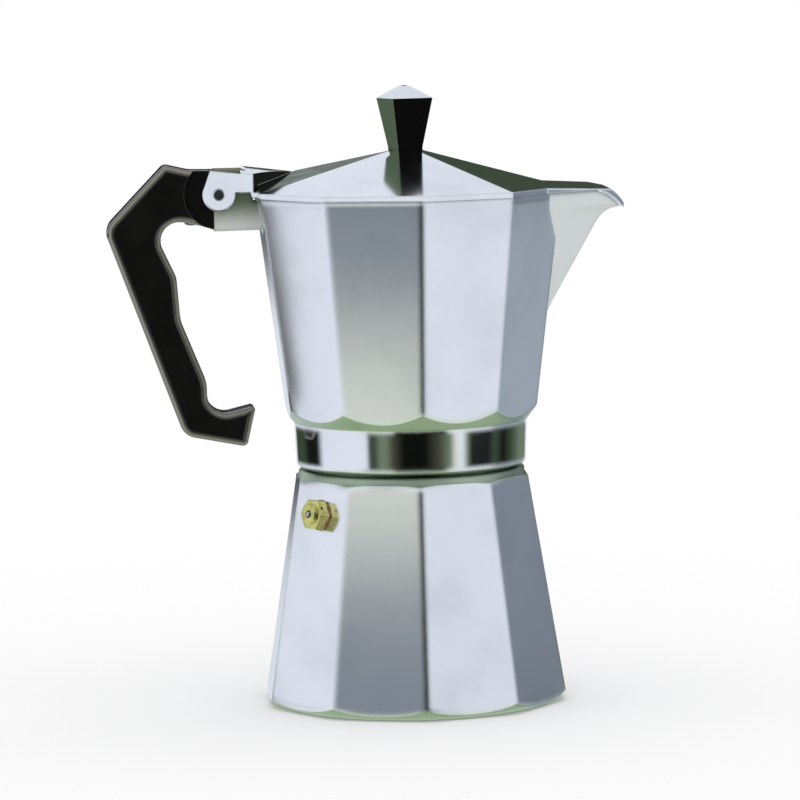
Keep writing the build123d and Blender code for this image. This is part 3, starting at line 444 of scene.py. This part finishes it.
LAVENDER = (0.78, 0.82, 0.90)
STEEL_GREY = (0.34, 0.39, 0.45)
SLATE = (0.21, 0.24, 0.29)
PALE_GREEN = (0.72, 0.76, 0.68)
GREEN = (0.16, 0.21, 0.14)
DARK_GREEN = (0.045, 0.065, 0.040)
OLIVE = (0.060, 0.065, 0.045)
BLACK = (0.004, 0.006, 0.004)
FLOOR_GREEN = (0.6, 0.7, 0.55)


def card_ring(finish, around, cards):
    """Cards side by side about the pot: (degrees right of the camera where one starts, its colour)."""
    stops = [((degrees + 180) / 360, colour) for degrees, colour in cards]
    return finish.node("ShaderNodeValToRGB", {"stops": stops}, {0: around})


def swapped(cards, *colours):
    """The same cards with slate in place of some colours."""
    return [(degrees, SLATE if colour in colours else colour) for degrees, colour in cards]


def studio_surroundings():
    world = bpy.data.worlds.new("studio")
    world.use_nodes = True
    world.cycles.sampling_method = "NONE"
    bpy.context.scene.world = world
    finish = Finish(world.node_tree)
    x, y, z = finish.split(finish.node("ShaderNodeTexCoord", output="Generated"))
    front = x * math.sin(CAMERA_AZIMUTH) - y * math.cos(CAMERA_AZIMUTH)
    side = x * math.cos(CAMERA_AZIMUTH) + y * math.sin(CAMERA_AZIMUTH)
    around = finish.node("ShaderNodeMath", {"operation": "ARCTAN2"}, {0: side, 1: front})
    around = around / (2 * math.pi) + 0.5
    height = finish.node("ShaderNodeMath", {"operation": "ARCSINE"}, {0: z}) * (180 / math.pi)

    level_cards = card_ring(finish, around, [
        (-160, DARK_GREEN), (-135, DARK_GREEN), (-122, BLACK), (-106, BLACK), (-98, LAVENDER),
        (-45, LAVENDER), (-42, DARK_GREEN), (-36, DARK_GREEN), (-31, GREEN), (-25, GREEN),
        (-18, OLIVE), (-8, BLACK), (14, BLACK), (28, OLIVE), (39, GREEN), (45, PALE_GREEN),
        (52, LAVENDER), (58, GREEN), (62, BLACK), (82, BLACK), (92, DARK_GREEN), (104, BLACK),
        (118, DARK_GREEN), (140, GREEN), (160, GREEN),
    ])
    facet_cards = [
        (-158, LAVENDER), (-56, LAVENDER), (-44, PALE_GREEN), (-20, PALE_GREEN), (-16, BLACK),
        (36, BLACK), (40, LAVENDER), (88, LAVENDER), (98, STEEL_GREY), (158, STEEL_GREY), (162, LAVENDER),
    ]
    low_bright = card_ring(finish, around, facet_cards)
    low_shaded = card_ring(finish, around, swapped(facet_cards, PALE_GREEN))
    high_bright = card_ring(finish, around, swapped(facet_cards, STEEL_GREY))
    high_shaded = card_ring(finish, around, swapped(facet_cards, PALE_GREEN, STEEL_GREY))
    low = finish.mix(finish.step(height, -29.0, -19.5), low_bright, low_shaded)
    high = finish.mix(finish.step(height, 11.5, 21.0), high_shaded, high_bright)
    behind = finish.step(abs(around - 0.5), 0.435, 0.450)
    rear_left = finish.mix(finish.step(height, 11.0, 15.0), BLACK, LAVENDER)
    rear_right = finish.mix(finish.step(height, 24.0, 30.0), DARK_GREEN, LAVENDER)
    rear = finish.mix(finish.step(around, 0.49, 0.51), rear_left, rear_right)
    rear = finish.mix(finish.step(height, -5.6, -5.0), LAVENDER, rear)
    cards = finish.mix(finish.step(height, -9.2, -8.4), low, level_cards)
    cards = finish.mix(finish.step(height, -2.6, -1.4), cards, high)
    cards = finish.mix(behind, cards, rear)
    cards = finish.mix(finish.step(height, 26.0, 34.0), cards, LAVENDER)
    cards = finish.mix(finish.step(height, 62.0, 72.0), cards, PALE_GREEN)
    cards = finish.mix(finish.step(height, -46.0, -32.0), FLOOR_GREEN, cards)
    gloss = finish.node("ShaderNodeLightPath", output="Is Glossy Ray")
    light = finish.mix(gloss, (1.0, 1.0, 1.0), cards)
    background = world.node_tree.nodes["Background"]
    finish.feed(background.inputs["Color"], light)


studio_surroundings()

FLOOR_HALF = 6.0
floor_mesh = bpy.data.meshes.new("studio_floor")
surface = bmesh.new()
bmesh.ops.create_grid(surface, x_segments=1, y_segments=1, size=FLOOR_HALF)
surface.to_mesh(floor_mesh)
surface.free()
floor = bpy.data.objects.new("studio_floor", floor_mesh)
floor.location.z = cad_box[0].z
floor.visible_glossy = False
bpy.context.scene.collection.objects.link(floor)
floor_material, floor_finish = new_material("floor_white", roughness=1.0, specular_ior_level=0.0)
dress(floor_finish, base_color=(1.0, 1.0, 1.0, 1.0))
floor_mesh.materials.append(floor_material)

bpy.context.scene.view_settings.view_transform = "Standard"
